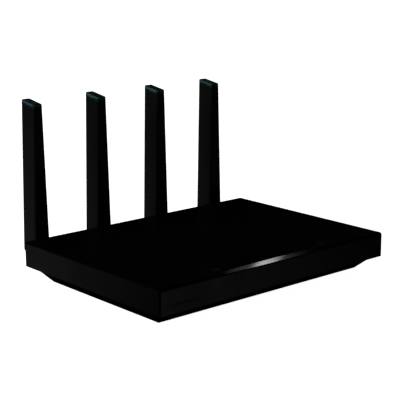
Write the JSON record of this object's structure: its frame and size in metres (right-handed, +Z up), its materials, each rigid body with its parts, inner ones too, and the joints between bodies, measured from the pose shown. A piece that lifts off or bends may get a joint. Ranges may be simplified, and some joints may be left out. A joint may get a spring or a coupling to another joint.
{
  "type": "wireless router",
  "caption": "Flat rectangular wireless router on a tapered pan, with tall blade antennas on swivel and tilt hinges behind a rear panel of sockets.",
  "frame": {"origin": "on the table, under the middle of the whole outline with the antennas upright", "axes": "+X to the right of someone facing the front, +Y to the rear panel, +Z up"},
  "size_m": [0.316, 0.2658, 0.1921],
  "materials": {
    "case_plastic": "satin black, fine grain",
    "badge": "satin grey",
    "indicator_window": "smoked",
    "light_guide": "clear",
    "circuit_board": "green solder mask",
    "rubber_feet": "matte",
    "steel_hardware": "zinc plated",
    "shield_metal": "tinned",
    "heat_sink": "extruded",
    "socket_plastic": "matte black",
    "wide_socket_plastic": "matte yellow",
    "usb_tongue_plastic": "matte blue",
    "control_plastic": "matte black",
    "antenna_plastic": "satin black",
    "knuckle_plastic": "satin black",
    "tip_lens": "dark teal, clear",
    "lead_jacket": "smooth"
  },
  "bodies": {
    "case": {"bottom_case": "case_plastic", "top_cover": "case_plastic", "rear_panel": "case_plastic", "vent_grille": "case_plastic", "badge_bar": "badge", "indicator_lens": "indicator_window", "light_guide": "light_guide", "indicator_board": "circuit_board", "feet": "rubber_feet", "case_screws": "steel_hardware", "main_board": "circuit_board", "board_screws": "steel_hardware", "processor_shield": "shield_metal", "processor_heat_sink": "heat_sink", "radio_shields": "shield_metal", "radio_heat_sinks": "heat_sink", "tact_switches": "socket_plastic", "local_port_block": "socket_plastic", "local_port_pair": "socket_plastic", "wide_port": "wide_socket_plastic", "usb_shells": "shield_metal", "usb_tongues": "usb_tongue_plastic", "power_inlet": "socket_plastic", "power_inlet_pin": "shield_metal", "power_switch": "socket_plastic", "light_switch": "socket_plastic", "antenna_leads": "lead_jacket"},
    "antenna_1_swivel": {"antenna_1_knuckle": "knuckle_plastic", "antenna_1_clip": "steel_hardware"},
    "antenna_1_blade": {"antenna_1_left_half": "antenna_plastic", "antenna_1_right_half": "antenna_plastic", "antenna_1_tip": "tip_lens", "antenna_1_radiator": "circuit_board", "antenna_1_hinge_pin": "steel_hardware"},
    "antenna_2_swivel": {"antenna_2_knuckle": "knuckle_plastic", "antenna_2_clip": "steel_hardware"},
    "antenna_2_blade": {"antenna_2_left_half": "antenna_plastic", "antenna_2_right_half": "antenna_plastic", "antenna_2_tip": "tip_lens", "antenna_2_radiator": "circuit_board", "antenna_2_hinge_pin": "steel_hardware"},
    "antenna_3_swivel": {"antenna_3_knuckle": "knuckle_plastic", "antenna_3_clip": "steel_hardware"},
    "antenna_3_blade": {"antenna_3_left_half": "antenna_plastic", "antenna_3_right_half": "antenna_plastic", "antenna_3_tip": "tip_lens", "antenna_3_radiator": "circuit_board", "antenna_3_hinge_pin": "steel_hardware"},
    "antenna_4_swivel": {"antenna_4_knuckle": "knuckle_plastic", "antenna_4_clip": "steel_hardware"},
    "antenna_4_blade": {"antenna_4_left_half": "antenna_plastic", "antenna_4_right_half": "antenna_plastic", "antenna_4_tip": "tip_lens", "antenna_4_radiator": "circuit_board", "antenna_4_hinge_pin": "steel_hardware"},
    "power_button": {"power_button": "control_plastic"},
    "reset_button": {"reset_button": "control_plastic"},
    "pairing_button": {"pairing_button": "control_plastic"},
    "radio_button": {"radio_button": "control_plastic"},
    "light_switch_knob": {"light_switch_knob": "control_plastic"}
  },
  "joints": [
    {"name": "antenna_1_swivel", "type": "hinge", "parent": "case", "child": "antenna_1_swivel", "pos_m": [-0.1269, 0.1202, 0.0313], "axis": [0, 1, 0], "range_deg": [-90, 20]},
    {"name": "antenna_1_tilt", "type": "hinge", "parent": "antenna_1_swivel", "child": "antenna_1_blade", "pos_m": [-0.1269, 0.1202, 0.0313], "axis": [-1, 0, 0], "range_deg": [0, 90]},
    {"name": "antenna_2_swivel", "type": "hinge", "parent": "case", "child": "antenna_2_swivel", "pos_m": [-0.0423, 0.1202, 0.0313], "axis": [0, 1, 0], "range_deg": [-20, 20]},
    {"name": "antenna_2_tilt", "type": "hinge", "parent": "antenna_2_swivel", "child": "antenna_2_blade", "pos_m": [-0.0423, 0.1202, 0.0313], "axis": [-1, 0, 0], "range_deg": [0, 90]},
    {"name": "antenna_3_swivel", "type": "hinge", "parent": "case", "child": "antenna_3_swivel", "pos_m": [0.0423, 0.1202, 0.0313], "axis": [0, 1, 0], "range_deg": [-20, 20]},
    {"name": "antenna_3_tilt", "type": "hinge", "parent": "antenna_3_swivel", "child": "antenna_3_blade", "pos_m": [0.0423, 0.1202, 0.0313], "axis": [-1, 0, 0], "range_deg": [0, 90]},
    {"name": "antenna_4_swivel", "type": "hinge", "parent": "case", "child": "antenna_4_swivel", "pos_m": [0.1269, 0.1202, 0.0313], "axis": [0, 1, 0], "range_deg": [-20, 90]},
    {"name": "antenna_4_tilt", "type": "hinge", "parent": "antenna_4_swivel", "child": "antenna_4_blade", "pos_m": [0.1269, 0.1202, 0.0313], "axis": [-1, 0, 0], "range_deg": [0, 90]},
    {"name": "power_button_press", "type": "slide", "parent": "case", "child": "power_button", "axis": [0, -1, 0], "range_m": [0, 0.002], "stiffness_N_per_m": 300},
    {"name": "reset_button_press", "type": "slide", "parent": "case", "child": "reset_button", "axis": [0, -1, 0], "range_m": [0, 0.0005], "stiffness_N_per_m": 800},
    {"name": "pairing_button_press", "type": "slide", "parent": "case", "child": "pairing_button", "axis": [0, 0, -1], "range_m": [0, 0.0006], "stiffness_N_per_m": 800},
    {"name": "radio_button_press", "type": "slide", "parent": "case", "child": "radio_button", "axis": [0, 0, -1], "range_m": [0, 0.0006], "stiffness_N_per_m": 800},
    {"name": "light_switch_slide", "type": "slide", "parent": "case", "child": "light_switch_knob", "axis": [1, 0, 0], "range_m": [0, 0.0024]}
  ]
}
